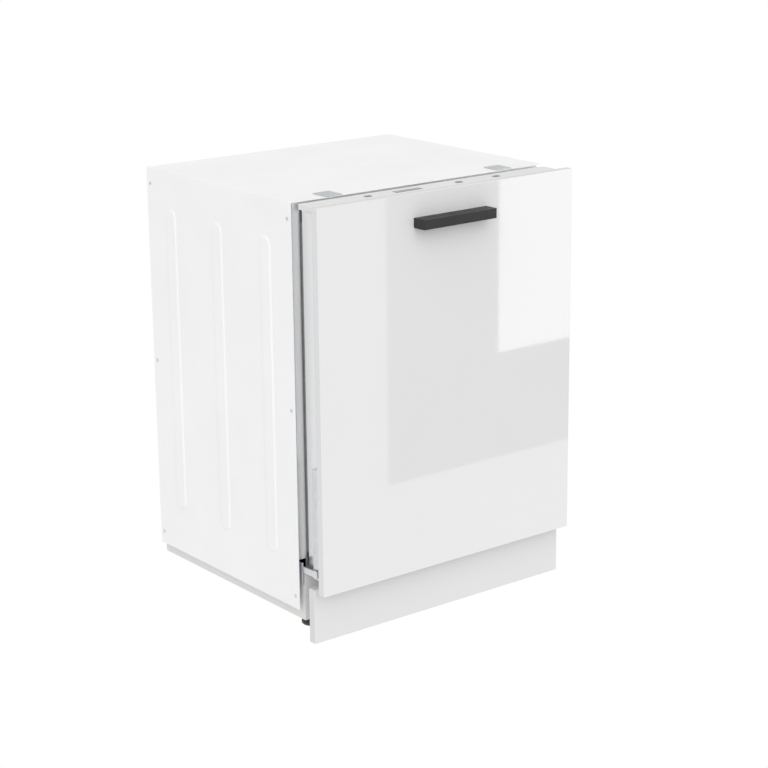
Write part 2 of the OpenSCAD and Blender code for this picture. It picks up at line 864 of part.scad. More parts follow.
// Riser on the tub's back wall, with the upper rack's docking stub and the ceiling shower
module feed_pipe() color(GREY_PLASTIC) {
    dock_y = 217;
    branch_r = 8;
    drop_r = 11;
    shower_r = 30;
    shower_z = [740, 750];
    clip_half_w = 16;
    clip_h = 14;
    cyl_z(0, pipe_y, floor_top + touch, pipe_top, riser_r);
    cyl_y(0, dock_y, pipe_y, dock_z, dock_r);
    translate([0, pipe_y, pipe_top]) sphere(r = riser_r, $fn = round_fn);
    cyl_y(0, centre_y, pipe_y, pipe_top, branch_r);
    cyl_z(0, centre_y, shower_z[1] - 2, pipe_top, drop_r);
    cyl_z(0, centre_y, shower_z[0], shower_z[1], shower_r);
    for (z = [250, 620])
        block([-clip_half_w, pipe_y + 6, z], [clip_half_w, tub_back_in_y - touch, z + clip_h]);
}

// ---- Racks ----

module lower_tracks() color(LIGHT_PLASTIC) {
    track_x = [250, 268];
    both_sides() block([track_x[0], -184, floor_top + touch], [track_x[1], rail_back_y, track_top]);
}

// Rectangle of four rim wires at one height, their ends just apart
module rim(half_w, y0, y1, z) {
    for (y = [y0, y1]) cyl_x(-half_w - rim_r, half_w + rim_r, y, z, rim_r);
    for (side = [-1, 1]) cyl_y(side * half_w, y0 + rim_r + touch, y1 - rim_r - touch, z, rim_r);
}

// Basket of separate straight wires: a crossed floor, uprights and two rims
module wire_basket(half_w, y0, y1, z0, z1) {
    upright_z = [z0 + rim_r + touch, z1 - rim_r - touch];
    floor_z = z0 + wire_r + rim_r;
    columns = floor(2 * half_w / wire_pitch);
    rows = floor((y1 - y0) / wire_pitch);
    column_x = [for (i = [1:columns - 1]) -half_w + i * 2 * half_w / columns];
    row_y = [for (i = [1:rows - 1]) y0 + i * (y1 - y0) / rows];
    rim(half_w, y0, y1, z0);
    rim(half_w, y0, y1, z1);
    for (x = column_x) {
        cyl_y(x, y0 + rim_r + touch, y1 - rim_r - touch, z0, wire_r);
        for (y = [y0, y1]) cyl_z(x, y, upright_z[0], upright_z[1], wire_r);
    }
    for (y = row_y) {
        cyl_x(-half_w, half_w, y, floor_z + touch, wire_r);
        for (side = [-1, 1]) cyl_z(side * half_w, y, floor_z + wire_r + 2 * touch, upright_z[1], wire_r);
    }
}

// Wire basket with wheel hangers at its sides and bored lugs for the folding tines
module lower_rack() color(STEEL) {
    hanger_x = [lower_x + 2.6, lower_x + 4.5, lower_x + 7];
    hanger_z = [174, 205];
    hub_r = 5;
    lug_half_l = 5;
    lug_w = 6;
    lug_z0 = lower_z + 2 * wire_r + rim_r + 2 * touch;
    wire_basket(lower_x, rack_front_y, rack_back_y, lower_z, lower_top);
    both_sides() for (y = wheel_ys) {
        block([hanger_x[1], y - hanger_half_l, hanger_z[0]], [hanger_x[2], y + hanger_half_l, lower_z]);
        block([hanger_x[0], y - hanger_half_l, hanger_z[1]],
              [hanger_x[1] + 2 * touch, y + hanger_half_l, lower_z - 3]);
        cyl_x(hanger_x[2] - over, wheel_pin_end_x, y, wheel_z, wheel_pin_r);
        cyl_x(wheel_x + wheel_w + 0.5, wheel_pin_end_x, y, wheel_z, hub_r);
    }
    for (x = [tine_xs[0] - 10, tine_xs[1] + 4]) difference() {
        block([x, tine_y - lug_half_l, lug_z0], [x + lug_w, tine_y + lug_half_l, tine_z + lug_half_l]);
        cyl_x(x - over, x + lug_w + over, tine_y, tine_z, tine_r + fit);
    }
}

// Two wheels on one axis, left and right
module wheel_pair(y) both_sides()
    difference() {
        cyl_x(wheel_x, wheel_x + wheel_w, y, wheel_z, wheel_r);
        cyl_x(wheel_x - over, wheel_x + wheel_w + over, y, wheel_z, wheel_pin_r + fit);
    }

module front_wheels() color(GREY_PLASTIC) wheel_pair(wheel_ys[0]);
module rear_wheels() color(GREY_PLASTIC) wheel_pair(wheel_ys[1]);

// Folding row of plate supports on one rod
module plate_tines() color(STEEL) {
    end = 9;
    cyl_x(tine_xs[0] - end, tine_xs[1] + end, tine_y, tine_z, tine_r);
    for (x = [tine_xs[0] + 10:tine_pitch:tine_xs[1] - 5])
        cyl_z(x, tine_y, tine_z, tine_z + tine_h, wire_r);
}

module cutlery_basket() color(GREY_PLASTIC) {
    wall = [basket_t, basket_t, 0];
    slot_z = [240, 300];
    slot_w = 10;
    difference() {
        block(basket_low, basket_high);
        block(basket_low + [basket_t, basket_t, basket_t], basket_high - wall + [0, 0, over]);
        for (y = [-145:20:35])
            block([basket_low[0] - over, y, slot_z[0]], [basket_high[0] + over, y + slot_w, slot_z[1]]);
    }
}

// C-shaped fixed rails, bolted to the tub's sides
module upper_rails() color(ZINC) {
    rail_x0 = 262;
    web_x = [266.5, 268];
    half_h = 14;
    inner_half_h = 11;
    foot_half_h = 8;
    foot_l = 20;
    both_sides() {
        difference() {
            block([rail_x0, rail_front_y, rail_mid_z - half_h], [web_x[1], rail_back_y, rail_mid_z + half_h]);
            block([rail_x0 - over, rail_front_y - over, rail_mid_z - inner_half_h],
                  [web_x[0], rail_back_y + over, rail_mid_z + inner_half_h]);
        }
        for (y = [-150, 220])
            block([web_x[1] - 2 * touch, y, rail_mid_z - foot_half_h],
                  [tub_w / 2 - tub_t - touch, y + foot_l, rail_mid_z + foot_half_h]);
    }
}

// Middle members of the telescopic rails, between the fixed rails and the rack's runners
module upper_slides() color(STEEL) {
    slide_x = [255.5, 262, 265.5];
    half_h = 10;
    inner_half_h = 7;
    both_sides() difference() {
        block([slide_x[0], rail_front_y, rail_mid_z - half_h],
              [slide_x[2], rail_back_y, rail_mid_z + half_h]);
        block([slide_x[0] - over, rail_front_y - over, rail_mid_z - inner_half_h],
              [slide_x[1], rail_back_y + over, rail_mid_z + inner_half_h]);
    }
}

// Wire basket with runners, the upper spray arm's feed and post, and the cup shelf's bored lugs
module upper_rack() color(STEEL) {
    runner_w = 11;
    runner_half_h = 6;
    runner_y = [-172, 236];
    strut_half_h = 5;
    strut_l = 26;
    feed_end_y = 212;
    collar_r = 12;
    lug_half_w = 4.5;
    lug_l = 4;
    lug_gap = 0.4;
    wire_basket(upper_x, rack_front_y, rack_back_y, upper_z, upper_top);
    both_sides() {
        block([runner_x, runner_y[0], rail_mid_z - runner_half_h],
              [runner_x + runner_w, runner_y[1], rail_mid_z + runner_half_h]);
        for (y = [-152, 190])
            block([upper_x + 2, y, rail_mid_z - strut_half_h],
                  [runner_x + 2 * touch, y + strut_l, rail_mid_z + strut_half_h]);
    }
    cyl_y(0, centre_y - 2, feed_end_y, dock_z, dock_r);
    cyl_z(0, centre_y, upper_arm_z0 - 2, dock_z, upper_post_r);
    cyl_z(0, centre_y, upper_arm_z1 + 0.5, dock_z, collar_r);
    cyl_z(0, centre_y, upper_arm_z0 - 6, upper_arm_z0 - 0.5, collar_r);
    for (y = [shelf_ys[0] - lug_gap - lug_l, shelf_ys[1] + lug_gap]) difference() {
        block([shelf_x - lug_half_w, y, upper_top + rim_r + touch],
              [shelf_x + lug_half_w, y + lug_l, shelf_z + 5]);
        cyl_y(shelf_x, y - over, y + lug_l + over, shelf_z, shelf_rod_r + fit);
    }
}

// Folding cup shelf: a slotted plate on a hinge rod
module cup_shelf() color(GREY_PLASTIC) {
    barrel_r = 4;
    half_t = 1.5;
    slot_w = 12;
    slot_pitch = 25;
    slot_x = [15, shelf_w - 12];
    cyl_y(shelf_x, shelf_ys[0] - 4, shelf_ys[1] + 4, shelf_z, shelf_rod_r);
    cyl_y(shelf_x, shelf_ys[0], shelf_ys[1], shelf_z, barrel_r);
    difference() {
        block([shelf_x, shelf_ys[0], shelf_z - half_t], [shelf_x + shelf_w, shelf_ys[1], shelf_z + half_t]);
        for (y = [shelf_ys[0] + 15:slot_pitch:shelf_ys[1] - 20])
            block([shelf_x + slot_x[0], y, shelf_z - half_t - over],
                  [shelf_x + slot_x[1], y + slot_w, shelf_z + half_t + over]);
    }
}

front_panel();
handle();
handle_screws();
front_rails();
front_carriages();
door_outer_sheet();
door_inner_panel();
door_hinge_arms();
door_seal();
door_latch();
control_fascia();
display_window();
button_power();
button_program();
button_start();
detergent_dispenser();
dispenser_lid();
rinse_aid_cap();
plinth_board();
plinth_brackets();
base_tray();
hinge_brackets();
balance_springs();
foot_front_left();
foot_front_right();
foot_rear();
side_panels();
rear_panel();
top_panel();
worktop_brackets();
tub();
tub_floor();
front_flange();
tub_gasket();
latch_striker();
sump();
filter_plate();
coarse_filter();
softener();
salt_cap();
circulation_pump();
flow_heater();
drain_pump();
inlet_valve();
drain_spigot();
terminal_box();
arm_post();
lower_spray_arm();
feed_pipe();
lower_tracks();
lower_rack();
front_wheels();
rear_wheels();
plate_tines();
cutlery_basket();
upper_rails();
upper_slides();
upper_rack();
upper_spray_arm();
cup_shelf();
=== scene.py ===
"""Looks of the built-in dishwasher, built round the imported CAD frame. Lengths are in metres."""
import json
import math

import bmesh
import bpy
from mathutils import Matrix, Vector

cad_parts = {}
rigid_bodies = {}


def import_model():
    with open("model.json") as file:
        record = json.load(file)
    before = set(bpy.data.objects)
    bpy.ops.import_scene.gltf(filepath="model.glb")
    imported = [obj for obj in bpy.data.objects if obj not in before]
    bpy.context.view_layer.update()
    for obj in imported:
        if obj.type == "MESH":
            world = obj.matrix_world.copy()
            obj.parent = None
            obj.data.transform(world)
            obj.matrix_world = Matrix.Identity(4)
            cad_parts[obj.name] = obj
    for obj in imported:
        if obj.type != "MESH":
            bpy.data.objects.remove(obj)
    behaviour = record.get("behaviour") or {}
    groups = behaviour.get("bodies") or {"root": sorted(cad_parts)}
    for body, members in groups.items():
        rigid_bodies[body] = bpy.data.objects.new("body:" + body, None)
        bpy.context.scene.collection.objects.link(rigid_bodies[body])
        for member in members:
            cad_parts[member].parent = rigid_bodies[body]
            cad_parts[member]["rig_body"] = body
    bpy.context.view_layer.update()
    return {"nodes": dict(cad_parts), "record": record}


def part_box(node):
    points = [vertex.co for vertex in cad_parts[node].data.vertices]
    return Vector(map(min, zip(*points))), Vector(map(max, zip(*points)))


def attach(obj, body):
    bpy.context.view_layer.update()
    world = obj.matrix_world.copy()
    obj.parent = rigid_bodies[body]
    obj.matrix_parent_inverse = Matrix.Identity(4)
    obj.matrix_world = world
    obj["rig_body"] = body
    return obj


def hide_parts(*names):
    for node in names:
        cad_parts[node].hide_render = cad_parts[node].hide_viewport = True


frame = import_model()

MM = 0.001
SHEET = 0.8 * MM
THIN_WIRE, THICK_WIRE = 1.5 * MM, 2.5 * MM
NODES = frame["nodes"]


def body_of_node(name):
    return NODES[name]["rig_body"]


# ---------------------------------------------------------------- materials

class Shader:
    """A Principled material with procedural colour, roughness and bump in object space."""

    def __init__(self, name, color, roughness, metallic=0.0, **sockets):
        self.mat = bpy.data.materials.new(name)
        self.mat.use_nodes = True
        self.nodes = self.mat.node_tree.nodes
        self.links = self.mat.node_tree.links
        self.bsdf = self.nodes["Principled BSDF"]
        self.color = color
        self.bsdf.inputs["Base Color"].default_value = (*color, 1)
        self.bsdf.inputs["Roughness"].default_value = roughness
        self.bsdf.inputs["Metallic"].default_value = metallic
        for key, value in sockets.items():
            self.bsdf.inputs[key.replace("_", " ")].default_value = value
        self.mat.diffuse_color = (*color, 1)
        self.coords = self.nodes.new("ShaderNodeTexCoord")
        self.height = None

    def mapped(self, stretch):
        mapping = self.nodes.new("ShaderNodeMapping")
        mapping.inputs["Scale"].default_value = stretch
        self.links.new(self.coords.outputs["Object"], mapping.inputs["Vector"])
        return mapping.outputs["Vector"]

    def noise(self, scale, detail=3.0, stretch=(1, 1, 1)):
        tex = self.nodes.new("ShaderNodeTexNoise")
        tex.inputs["Scale"].default_value = scale
        tex.inputs["Detail"].default_value = detail
        self.links.new(self.mapped(stretch), tex.inputs["Vector"])
        return tex.outputs["Fac"]

    def cells(self, scale, stretch=(1, 1, 1)):
        tex = self.nodes.new("ShaderNodeTexVoronoi")
        tex.inputs["Scale"].default_value = scale
        self.links.new(self.mapped(stretch), tex.inputs["Vector"])
        return tex.outputs["Color"]

    def ramp(self, source, low, high, start=0.35, end=0.65):
        """Maps a grey source onto the range low to high."""
        node = self.nodes.new("ShaderNodeMapRange")
        node.inputs["From Min"].default_value = start
        node.inputs["From Max"].default_value = end
        node.inputs["To Min"].default_value = low
        node.inputs["To Max"].default_value = high
        self.links.new(source, node.inputs["Value"])
        return node.outputs["Result"]

    def tint(self, source, amount, start=0.35, end=0.65):
        """Varies the base colour by plus and minus amount."""
        mix = self.nodes.new("ShaderNodeMix")
        mix.data_type = "RGBA"
        mix.inputs["A"].default_value = (*[max(0, c * (1 - amount)) for c in self.color], 1)
        mix.inputs["B"].default_value = (*[min(1, c * (1 + amount)) for c in self.color], 1)
        self.links.new(self.ramp(source, 0, 1, start, end), mix.inputs["Factor"])
        self.links.new(mix.outputs["Result"], self.bsdf.inputs["Base Color"])
        return self

    def rough(self, source, low, high):
        self.links.new(self.ramp(source, low, high), self.bsdf.inputs["Roughness"])
        return self

    def bump(self, source, distance, strength=1.0):
        node = self.nodes.new("ShaderNodeBump")
        node.inputs["Distance"].default_value = distance
        node.inputs["Strength"].default_value = strength
        self.links.new(source, node.inputs["Height"])
        if self.height is not None:
            self.links.new(self.height, node.inputs["Normal"])
        self.height = node.outputs["Normal"]
        self.links.new(self.height, self.bsdf.inputs["Normal"])
        return self


def lacquer(name, value, roughness):
    """Gloss lacquer on board: faint tone drift, slight orange peel under a clear coat."""
    s = Shader(name, (value, value, value), roughness, IOR=1.5, Coat_Weight=0.6, Coat_Roughness=0.02)
    s.tint(s.noise(3.0), 0.006)
    s.rough(s.noise(14.0), roughness * 0.8, roughness * 1.3)
    return s.bump(s.noise(90.0, 2.0), 0.00004, 0.25)


def powder_coat(name, color, roughness):
    """Powder coating with its fine even grain."""
    s = Shader(name, color, roughness, IOR=1.48)
    s.tint(s.noise(9.0), 0.04 if color[0] < 0.5 else 0.01)
    s.rough(s.noise(40.0), roughness * 0.85, min(1, roughness * 1.15))
    return s.bump(s.noise(1400.0, 2.0), 0.00008, 0.5)


def moulded(name, color, roughness):
    """Moulded plastic with a fine erosion grain and a little flow mottling."""
    s = Shader(name, color, roughness, IOR=1.49)
    s.tint(s.noise(12.0, 4.0), 0.02 if color[0] > 0.5 else 0.06)
    s.rough(s.noise(60.0), roughness * 0.85, min(1, roughness * 1.15))
    return s.bump(s.noise(2200.0, 2.0), 0.00006, 0.45)


def brushed(name, color, roughness, stretch):
    """Metal whose fine lines run along the axis that stretch gives a small number."""
    s = Shader(name, color, roughness, metallic=1.0)
    grain = s.noise(1100.0, 3.0, stretch)
    s.tint(grain, 0.02)
    s.rough(grain, roughness * 0.9, roughness * 1.15)
    return s.bump(grain, 0.00002, 0.12)


def galvanised(name, color):
    """Zinc-coated steel with pale spangles."""
    s = Shader(name, color, 0.42, metallic=0.85)
    spangle = s.cells(90.0)
    s.tint(spangle, 0.05, 0.0, 1.0)
    s.rough(s.noise(25.0), 0.34, 0.52)
    return s.bump(s.noise(300.0, 2.0), 0.00004, 0.3)


def rubber(name, value):
    s = Shader(name, (value, value, value), 0.72, IOR=1.52)
    s.tint(s.noise(30.0), 0.12)
    s.rough(s.noise(80.0), 0.62, 0.85)
    return s.bump(s.noise(1500.0, 3.0), 0.0001, 0.5)


def coated_wire(name, color):
    s = Shader(name, color, 0.32, IOR=1.52, Coat_Weight=0.3, Coat_Roughness=0.15)
    s.tint(s.noise(25.0), 0.06)
    return s.bump(s.noise(700.0, 2.0), 0.00005, 0.5)


ACROSS = (0.02, 1, 1)
UPRIGHT = (1, 1, 0.02)
LOOKS = {
    "front_lacquer": lacquer("front_lacquer", 0.80, 0.05).mat,
    # A darker copy of the front lacquer for the board's narrow faces: painted shade on its edges.
    "front_painted_shade_edge": lacquer("front_painted_shade_edge", 0.73, 0.22).mat,
    "plinth_lacquer": lacquer("plinth_lacquer", 0.755, 0.16).mat,
    # A darker copy of the plinth lacquer for its narrow faces: painted shade on its ends and edges.
    "plinth_painted_shade_edge": lacquer("plinth_painted_shade_edge", 0.69, 0.25).mat,
    "handle_black": powder_coat("handle_black", (0.015, 0.015, 0.016), 0.55).mat,
    "zinc_steel": galvanised("zinc_steel", (0.66, 0.68, 0.70)).mat,
    "white_steel": powder_coat("white_steel", (0.93, 0.93, 0.93), 0.5).mat,
    "stainless": brushed("stainless", (0.80, 0.805, 0.81), 0.34, ACROSS).mat,
    "rack_wire": coated_wire("rack_wire", (0.42, 0.44, 0.47)).mat,
    "rail_steel": brushed("rail_steel", (0.75, 0.76, 0.78), 0.18, UPRIGHT).mat,
    "light_plastic": moulded("light_plastic", (0.78, 0.78, 0.77), 0.42).mat,
    "grey_plastic": moulded("grey_plastic", (0.22, 0.24, 0.27), 0.45).mat,
    "dark_plastic": moulded("dark_plastic", (0.035, 0.036, 0.04), 0.45).mat,
    "display_black": Shader("display_black", (0.008, 0.008, 0.01), 0.04, IOR=1.52, Coat_Weight=1.0).mat,
    "cap_blue": moulded("cap_blue", (0.06, 0.14, 0.26), 0.38).mat,
    "seal_rubber": rubber("seal_rubber", 0.16).mat,
}
SLOT_OF = {s["node"]: s["material_slot"] for s in frame["record"]["subparts"]}


# ---------------------------------------------------------------- mesh tools

def piece(name, bm, body, slot, replaces=(), smooth_deg=35.0, look=None):
    """Makes an object of a bmesh, gives it its look, and rides it on a CAD body."""
    bmesh.ops.recalc_face_normals(bm, faces=bm.faces)
    mesh = bpy.data.meshes.new(name)
    bm.to_mesh(mesh)
    bm.free()
    obj = bpy.data.objects.new(name, mesh)
    bpy.context.scene.collection.objects.link(obj)
    mesh.materials.append(LOOKS[look or slot])
    mesh.shade_smooth()
    mesh.set_sharp_from_angle(angle=math.radians(smooth_deg))
    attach(obj, body)
    if replaces:
        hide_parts(*replaces)
    return obj


def even_shading(obj):
    """Lets big flat faces keep flat shading beside small rounded ones."""
    obj.modifiers.new("normals", "WEIGHTED_NORMAL").keep_sharp = True


def bevel(obj, width, segments=2, angle_deg=38.0):
    mod = obj.modifiers.new("edges", "BEVEL")
    mod.width = width
    mod.segments = segments
    mod.limit_method = "ANGLE"
    mod.angle_limit = math.radians(angle_deg)
    mod.harden_normals = True
    return mod


def add_box(bm, low, high):
    low, high = Vector(low), Vector(high)
    made = bmesh.ops.create_cube(bm, size=1.0)
    middle, size = (low + high) / 2, high - low
    bmesh.ops.scale(bm, vec=size, verts=made["verts"])
    bmesh.ops.translate(bm, vec=middle, verts=made["verts"])
    return made["verts"]


def add_loft(bm, rings, closed_ring=True, cap_start=True, cap_end=True, loop=False):
    """Joins rings of points, all of one length, into a skin."""
    rows = [[bm.verts.new(p) for p in ring] for ring in rings]
    pairs = list(zip(rows, rows[1:]))
    if loop:
        pairs.append((rows[-1], rows[0]))
    count = len(rows[0])
    for a, b in pairs:
        for i in range(count if closed_ring else count - 1):
            k = (i + 1) % count
            bm.faces.new((a[i], a[k], b[k], b[i]))
    if closed_ring and not loop:
        if cap_start:
            bm.faces.new(list(reversed(rows[0])))
        if cap_end:
            bm.faces.new(rows[-1])


def filleted(points, radius, steps=5, closed=False):
    """The route through the points with its corners rounded."""
    points = [Vector(p) for p in points]
    out = []
    count = len(points)
    for i, p in enumerate(points):
        if not closed and i in (0, count - 1):
            out.append(p)
            continue
        before, after = points[i - 1], points[(i + 1) % count]
        a, b = (before - p), (after - p)
        turn = a.angle(b)
        reach = min(radius / math.tan(turn / 2), a.length * 0.49, b.length * 0.49)
        start, end = p + a.normalized() * reach, p + b.normalized() * reach
        for k in range(steps + 1):
            t = k / steps
            out.append(start * (1 - t) ** 2 + p * 2 * t * (1 - t) + end * t ** 2)
    return out


def angles(count):
    """The angles of points spread evenly round a circle."""
    return [2 * math.pi * i / count for i in range(count)]


def circle_section(radius, sides=10):
    return [(radius * math.cos(a), radius * math.sin(a)) for a in angles(sides)]


def add_sweep(bm, points, section, closed=False, up=None):
    """Sweeps a section, a list of points in its own plane, along a route without twisting it."""
    points = [Vector(p) for p in points]
    count = len(points)
    tangents = []
    for i in range(count):
        a = points[i - 1] if (closed or i > 0) else points[i]
        b = points[(i + 1) % count] if (closed or i < count - 1) else points[i]
        tangents.append((b - a).normalized())
    side = Vector(up) if up else tangents[0].orthogonal()
    rings = []
    for p, t in zip(points, tangents):
        side = (side - t * side.dot(t)).normalized()
        other = t.cross(side)
        rings.append([p + side * u + other * v for u, v in section])
    add_loft(bm, rings, loop=closed)


def add_lathe(bm, profile, centre, axis, segments=48):
    """Turns a profile of (radius, distance along the axis) points round an axis."""
    centre, axis = Vector(centre), Vector(axis).normalized()
    u = axis.orthogonal().normalized()
    v = axis.cross(u)
    rings = []
    for r, h in profile:
        r = max(r, 1e-6)
        rings.append([centre + axis * h + (u * math.cos(a) + v * math.sin(a)) * r
                      for a in angles(segments)])
    add_loft(bm, rings)
    bmesh.ops.remove_doubles(bm, verts=bm.verts, dist=2e-6)


def rounded_ring(width, height, radius, corner_steps=5):
    """Points of a rounded rectangle about the origin, in order."""
    radius = min(radius, width / 2 - 1e-5, height / 2 - 1e-5)
    out = []
    for quarter, (sx, sy) in enumerate(((1, 1), (-1, 1), (-1, -1), (1, -1))):
        cx, cy = sx * (width / 2 - radius), sy * (height / 2 - radius)
        for k in range(corner_steps + 1):
            a = math.pi / 2 * (quarter + k / corner_steps)
            out.append((cx + radius * math.cos(a), cy + radius * math.sin(a)))
    return out


def add_pressing(bm, centre, across, upward, layers):
    """Stacked rounded rectangles on a wall: (width, height, corner radius, height off the wall) each."""
    centre, across, upward = Vector(centre), Vector(across), Vector(upward)
    normal = across.cross(upward)
    rings = [[centre + across * x + upward * z + normal * lift for x, z in rounded_ring(w, h, r)]
             for w, h, r, lift in layers]
    add_loft(bm, rings)


def add_screw(bm, centre, normal, radius=0.004, height=0.0022):
    """Pan-head screw with a round recess."""
    profile = [(0, 0), (radius, 0), (radius, height * 0.5), (radius * 0.8, height * 0.9),
               (radius * 0.45, height), (radius * 0.4, height * 0.55), (0, height * 0.5)]
    add_lathe(bm, profile, centre, normal, 20)


# ---------------------------------------------------------------- CAD nodes that stay

BEVELS = {
    "front_panel": 0.0007, "plinth_board": 0.0007, "handle": 0.0018, "handle_screws": 0.0003,
    "front_rails": 0.0005, "front_carriages": 0.0004, "door_hinge_arms": 0.0006,
    "door_latch": 0.0006, "control_fascia": 0.0005, "display_window": 0.0003,
    "button_power": 0.0006, "button_program": 0.0006, "button_start": 0.0006,
    "detergent_dispenser": 0.0012, "dispenser_lid": 0.0006, "rinse_aid_cap": 0.0006,
    "plinth_brackets": 0.0006, "base_tray": 0.0012, "hinge_brackets": 0.0006,
    "top_panel": 0.0003, "worktop_brackets": 0.0005,
    "latch_striker": 0.0006, "sump": 0.0008, "coarse_filter": 0.0006, "softener": 0.004,
    "salt_cap": 0.0012, "circulation_pump": 0.002, "flow_heater": 0.001, "drain_pump": 0.002,
    "inlet_valve": 0.001, "drain_spigot": 0.0008, "terminal_box": 0.0012, "arm_post": 0.0008,
    "feed_pipe": 0.001, "lower_tracks": 0.001, "upper_rails": 0.0004, "upper_slides": 0.0004,
    "cup_shelf": 0.0006,
}


def finish_node(name):
    """Welds, flattens and rounds a CAD node with modifiers, and gives it its look."""
    obj = NODES[name]
    mesh = obj.data
    mesh.materials.clear()
    mesh.materials.append(LOOKS[SLOT_OF[name]])
    for attribute in ("custom_normal", "sharp_face", "sharp_edge"):
        if attribute in mesh.attributes:
            mesh.attributes.remove(mesh.attributes[attribute])
    mesh.shade_smooth()
    weld = obj.modifiers.new("weld", "WELD")
    weld.merge_threshold = 1e-6
    flat = obj.modifiers.new("flat", "DECIMATE")
    flat.decimate_type = "DISSOLVE"
    flat.angle_limit = math.radians(0.6)
    if name in BEVELS:
        bevel(obj, BEVELS[name], 3 if BEVELS[name] > 0.0006 else 2)
    even_shading(obj)


for node_name in NODES:
    finish_node(node_name)


# ---------------------------------------------------------------- furniture front

def painted_shade_edges(obj, look):
    """Gives a board's four narrow faces a darker copy of the lacquer, painted shade on its edges, and
    rounds its edges.
    """
    obj.data.materials.append(LOOKS[look])
    for face in obj.data.polygons:
        face.material_index = 0 if abs(face.normal.y) > 0.5 else 1
    bevel(obj, 0.0008, 4)


def front_board():
    """The board again as one bevelled slab, its face in one lacquer and its four narrow faces in a darker
    copy of it, painted shade.
    """
    low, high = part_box("front_panel")
    bm = bmesh.new()
    add_box(bm, low, high)
    obj = piece("front_board", bm, "front", "front_lacquer", ["front_panel"])
    painted_shade_edges(obj, "front_painted_shade_edge")


def plinth():
    """The plinth board again, with its own face, and its narrow faces in a darker copy of its lacquer,
    painted shade.
    """
    low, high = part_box("plinth_board")
    bm = bmesh.new()
    add_box(bm, low, high)
    painted_shade_edges(piece("plinth_face", bm, "machine", "plinth_lacquer", ["plinth_board"]), "plinth_painted_shade_edge")


front_board()
plinth()


# ---------------------------------------------------------------- casing

def casing():
    """Side sheets with long stiffening beads, a ribbed back, and their screws."""
    low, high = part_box("side_panels")
    bm = bmesh.new()
    for side in (-1, 1):
        x = side * high.x
        x0, x1 = sorted((x, x - side * SHEET))
        add_box(bm, (x0, low.y, low.z), (x1, high.y, high.z))
        for y in (-0.105, 0.050, 0.205):
            add_pressing(bm, (x, y, 0.44), (0, side, 0), (0, 0, 1),
                         [(0.034, 0.60, 0.016, -SHEET / 2), (0.030, 0.596, 0.0148, 0.0013),
                          (0.026, 0.592, 0.0128, 0.0015)])
    sides = piece("side_sheets", bm, "machine", "white_steel", ["side_panels"])
    bevel(sides, 0.0003, 2)
    even_shading(sides)
    bm = bmesh.new()
    for side in (-1, 1):
        for z in (low.z + 0.025, (low.z + high.z) / 2, high.z - 0.03):
            for y in (low.y + 0.012, high.y - 0.012):
                add_screw(bm, (side * high.x, y, z), (side, 0, 0), 0.0035, 0.0012)
    piece("side_screws", bm, "machine", "zinc_steel")

    low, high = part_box("rear_panel")
    bm = bmesh.new()
    add_box(bm, low, high)
    middle_z, width = (low.z + high.z) / 2, high.x - low.x
    for dz, h in ((-0.22, 0.16), (0.0, 0.2), (0.22, 0.16)):
        add_pressing(bm, (0, high.y, middle_z + dz), (-1, 0, 0), (0, 0, 1),
                     [(width * 0.86, h, 0.03, -0.0004), (width * 0.85, h - 0.008, 0.028, 0.0028),
                      (width * 0.80, h - 0.04, 0.02, 0.0028), (width * 0.79, h - 0.048, 0.018, 0.0008)])
    for x in (-0.28, -0.14, 0, 0.14, 0.28):
        for z in (low.z + 0.012, high.z - 0.012):
            add_screw(bm, (x, high.y, z), (0, 1, 0), 0.0035, 0.0018)
    even_shading(piece("rear_sheet", bm, "machine", "zinc_steel", ["rear_panel"]))


casing()


# ---------------------------------------------------------------- tub and door

def tub_pressings():
    """Soft stamped fields on the tub's back and side walls."""
    _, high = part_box("tub")
    bm = bmesh.new()

    def field(w, h):
        return [(w, h, 0.03, -SHEET / 2), (w - 0.008, h - 0.008, 0.028, 0.0022),
                (w - 0.05, h - 0.05, 0.02, 0.0022), (w - 0.058, h - 0.058, 0.018, 0.0006)]

    back_y = high.y - SHEET
    for x in (-0.145, 0.145):
        add_pressing(bm, (x, back_y, 0.63), (1, 0, 0), (0, 0, 1), field(0.2, 0.2))
        add_pressing(bm, (x, back_y, 0.33), (1, 0, 0), (0, 0, 1), field(0.2, 0.26))
    for side in (-1, 1):
        x = side * (high.x - SHEET)
        across = (0, side, 0)
        for y in (-0.075, 0.145):
            add_pressing(bm, (x, y, 0.655), across, (0, 0, 1), field(0.19, 0.15))
            add_pressing(bm, (x, y, 0.345), across, (0, 0, 1), field(0.19, 0.22))
    even_shading(piece("tub_pressings", bm, "machine", "stainless"))


def ring_on_door(w, h, r, y, cx, cz):
    return [(cx + x, y, cz + z) for x, z in rounded_ring(w, h, r)]


